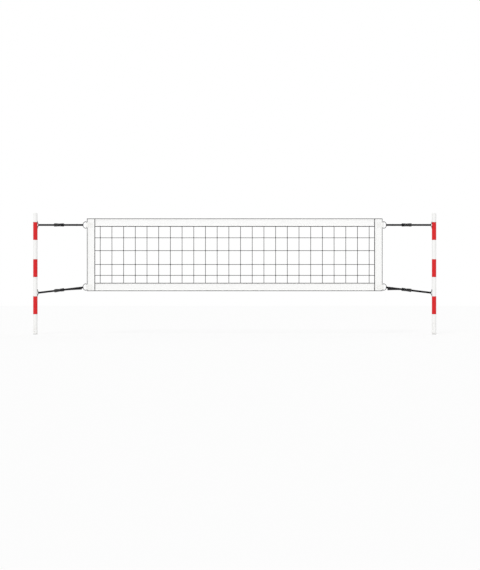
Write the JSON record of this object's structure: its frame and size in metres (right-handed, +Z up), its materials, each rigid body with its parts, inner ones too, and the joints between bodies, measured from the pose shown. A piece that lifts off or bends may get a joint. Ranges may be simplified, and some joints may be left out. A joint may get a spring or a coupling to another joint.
{
  "type": "volleyball net on poles",
  "caption": "Volleyball net with white bands, strapped by ratchet tensioners between upright red and white striped poles.",
  "frame": {"origin": "on the ground, midway between the poles", "axes": "+X along the net to the right pole, +Y to the back, +Z up"},
  "size_m": [5.551, 0.0621, 1.665],
  "materials": {
    "net_cord": "braided cord",
    "white_tape": "vinyl-coated tape",
    "rope": "braided rope",
    "fibreglass": "pultruded rod",
    "black_binding": "woven binding",
    "white_paint": "powder coated",
    "red_sleeve": "glossy vinyl sleeve",
    "white_plastic": "moulded",
    "black_plastic": "moulded",
    "black_steel": "satin black coating",
    "zinc_steel": "zinc plated",
    "black_zinc": "black zinc plated",
    "ring_steel": "welded and plated black",
    "spring_steel": "drawn wire",
    "white_webbing": "woven webbing",
    "black_webbing": "woven webbing"
  },
  "bodies": {
    "root": {"net_mesh": "net_cord", "top_band": "white_tape", "bottom_band": "white_tape", "left_side_band": "white_tape", "right_side_band": "white_tape", "band_ropes": "rope", "side_battens": "fibreglass", "edge_binding": "black_binding", "left_pole_tube": "white_paint", "right_pole_tube": "white_paint", "red_sleeves": "red_sleeve", "pole_top_caps": "white_plastic", "pole_foot_plugs": "black_plastic", "strap_anchors": "black_steel", "anchor_screws": "zinc_steel", "ring_tabs": "white_webbing", "strap_keepers": "black_webbing", "pole_straps": "black_webbing", "frame_bolts": "black_zinc", "lock_springs": "spring_steel", "left_upper_net_strap": "black_webbing", "left_upper_ratchet_frame": "black_steel", "left_lower_net_strap": "black_webbing", "left_lower_ratchet_frame": "black_steel", "right_upper_net_strap": "black_webbing", "right_upper_ratchet_frame": "black_steel", "right_lower_net_strap": "black_webbing", "right_lower_ratchet_frame": "black_steel"},
    "left_upper_ring": {"left_upper_d_ring": "ring_steel"},
    "left_upper_handle": {"left_upper_handle": "black_steel", "left_upper_handle_grip": "black_plastic", "left_upper_drive_spring": "spring_steel"},
    "left_upper_drive_pawl": {"left_upper_drive_pawl": "black_zinc"},
    "left_upper_spool": {"left_upper_spool": "black_zinc", "left_upper_wound_webbing": "black_webbing"},
    "left_upper_lock_pawl": {"left_upper_lock_pawl": "black_zinc"},
    "left_lower_ring": {"left_lower_d_ring": "ring_steel"},
    "left_lower_handle": {"left_lower_handle": "black_steel", "left_lower_handle_grip": "black_plastic", "left_lower_drive_spring": "spring_steel"},
    "left_lower_drive_pawl": {"left_lower_drive_pawl": "black_zinc"},
    "left_lower_spool": {"left_lower_spool": "black_zinc", "left_lower_wound_webbing": "black_webbing"},
    "left_lower_lock_pawl": {"left_lower_lock_pawl": "black_zinc"},
    "right_upper_ring": {"right_upper_d_ring": "ring_steel"},
    "right_upper_handle": {"right_upper_handle": "black_steel", "right_upper_handle_grip": "black_plastic", "right_upper_drive_spring": "spring_steel"},
    "right_upper_drive_pawl": {"right_upper_drive_pawl": "black_zinc"},
    "right_upper_spool": {"right_upper_spool": "black_zinc", "right_upper_wound_webbing": "black_webbing"},
    "right_upper_lock_pawl": {"right_upper_lock_pawl": "black_zinc"},
    "right_lower_ring": {"right_lower_d_ring": "ring_steel"},
    "right_lower_handle": {"right_lower_handle": "black_steel", "right_lower_handle_grip": "black_plastic", "right_lower_drive_spring": "spring_steel"},
    "right_lower_drive_pawl": {"right_lower_drive_pawl": "black_zinc"},
    "right_lower_spool": {"right_lower_spool": "black_zinc", "right_lower_wound_webbing": "black_webbing"},
    "right_lower_lock_pawl": {"right_lower_lock_pawl": "black_zinc"}
  },
  "joints": [
    {"name": "left_upper_ring_swing", "type": "hinge", "parent": "root", "child": "left_upper_ring", "pos_m": [-2.043, 0, 1.5035], "axis": [0, 0, 1], "range_deg": [-20, 20], "deforming": ["left_upper_net_strap"]},
    {"name": "left_upper_handle_swing", "type": "hinge", "parent": "root", "child": "left_upper_handle", "pos_m": [-2.362, -0.01265, 1.5035], "axis": [0, 0, 1], "range_deg": [0, 170]},
    {"name": "left_upper_drive_pawl_slide", "type": "slide", "parent": "left_upper_handle", "child": "left_upper_drive_pawl", "axis": [-0.9659, -0.2588, 0], "range_m": [0, 0.004], "stiffness_N_per_m": 500, "springref_m": -0.004, "deforming": ["left_upper_drive_spring"]},
    {"name": "left_upper_spool_turn", "type": "hinge", "parent": "root", "child": "left_upper_spool", "pos_m": [-2.362, -0.01265, 1.5035], "axis": [0, 0, 1], "range_deg": [0, 30]},
    {"name": "left_upper_lock_pawl_slide", "type": "slide", "parent": "root", "child": "left_upper_lock_pawl", "axis": [-0.9659, 0.2588, 0], "range_m": [0, 0.00367], "stiffness_N_per_m": 100, "springref_m": -0.004, "deforming": ["lock_springs"]},
    {"name": "left_lower_ring_swing", "type": "hinge", "parent": "root", "child": "left_lower_ring", "pos_m": [-2.043, 0, 0.649], "axis": [0, 0, 1], "range_deg": [-20, 20], "deforming": ["left_lower_net_strap"]},
    {"name": "left_lower_handle_swing", "type": "hinge", "parent": "root", "child": "left_lower_handle", "pos_m": [-2.35974, -0.01265, 0.61109], "axis": [-0.1188, 0, 0.9929], "range_deg": [0, 170]},
    {"name": "left_lower_drive_pawl_slide", "type": "slide", "parent": "left_lower_handle", "child": "left_lower_drive_pawl", "axis": [-0.9591, -0.2588, -0.1148], "range_m": [0, 0.004], "stiffness_N_per_m": 500, "springref_m": -0.004, "deforming": ["left_lower_drive_spring"]},
    {"name": "left_lower_spool_turn", "type": "hinge", "parent": "root", "child": "left_lower_spool", "pos_m": [-2.35974, -0.01265, 0.61109], "axis": [-0.1188, 0, 0.9929], "range_deg": [0, 30]},
    {"name": "left_lower_lock_pawl_slide", "type": "slide", "parent": "root", "child": "left_lower_lock_pawl", "axis": [-0.9591, 0.2588, -0.1148], "range_m": [0, 0.00367], "stiffness_N_per_m": 100, "springref_m": -0.004, "deforming": ["lock_springs"]},
    {"name": "right_upper_ring_swing", "type": "hinge", "parent": "root", "child": "right_upper_ring", "pos_m": [2.043, 0, 1.5035], "axis": [0, 0, 1], "range_deg": [-20, 20], "deforming": ["right_upper_net_strap"]},
    {"name": "right_upper_handle_swing", "type": "hinge", "parent": "root", "child": "right_upper_handle", "pos_m": [2.311, -0.01265, 1.5035], "axis": [0, 0, -1], "range_deg": [0, 170]},
    {"name": "right_upper_drive_pawl_slide", "type": "slide", "parent": "right_upper_handle", "child": "right_upper_drive_pawl", "axis": [0.9659, -0.2588, 0], "range_m": [0, 0.004], "stiffness_N_per_m": 500, "springref_m": -0.004, "deforming": ["right_upper_drive_spring"]},
    {"name": "right_upper_spool_turn", "type": "hinge", "parent": "root", "child": "right_upper_spool", "pos_m": [2.311, -0.01265, 1.5035], "axis": [0, 0, -1], "range_deg": [0, 30]},
    {"name": "right_upper_lock_pawl_slide", "type": "slide", "parent": "root", "child": "right_upper_lock_pawl", "axis": [0.9659, 0.2588, 0], "range_m": [0, 0.00367], "stiffness_N_per_m": 100, "springref_m": -0.004, "deforming": ["lock_springs"]},
    {"name": "right_lower_ring_swing", "type": "hinge", "parent": "root", "child": "right_lower_ring", "pos_m": [2.043, 0, 0.649], "axis": [0, 0, 1], "range_deg": [-20, 20], "deforming": ["right_lower_net_strap"]},
    {"name": "right_lower_handle_swing", "type": "hinge", "parent": "root", "child": "right_lower_handle", "pos_m": [2.3091, -0.01265, 0.61715], "axis": [-0.1188, 0, -0.9929], "range_deg": [0, 170]},
    {"name": "right_lower_drive_pawl_slide", "type": "slide", "parent": "right_lower_handle", "child": "right_lower_drive_pawl", "axis": [0.9591, -0.2588, -0.1148], "range_m": [0, 0.004], "stiffness_N_per_m": 500, "springref_m": -0.004, "deforming": ["right_lower_drive_spring"]},
    {"name": "right_lower_spool_turn", "type": "hinge", "parent": "root", "child": "right_lower_spool", "pos_m": [2.3091, -0.01265, 0.61715], "axis": [-0.1188, 0, -0.9929], "range_deg": [0, 30]},
    {"name": "right_lower_lock_pawl_slide", "type": "slide", "parent": "root", "child": "right_lower_lock_pawl", "axis": [0.9591, 0.2588, -0.1148], "range_m": [0, 0.00367], "stiffness_N_per_m": 100, "springref_m": -0.004, "deforming": ["lock_springs"]}
  ],
  "couplings": [
    {"joint": "left_upper_spool_turn", "follows": "left_upper_lock_pawl_slide", "rad_per_m": 142.8},
    {"joint": "left_lower_spool_turn", "follows": "left_lower_lock_pawl_slide", "rad_per_m": 142.8},
    {"joint": "right_upper_spool_turn", "follows": "right_upper_lock_pawl_slide", "rad_per_m": 142.8},
    {"joint": "right_lower_spool_turn", "follows": "right_lower_lock_pawl_slide", "rad_per_m": 142.8}
  ]
}
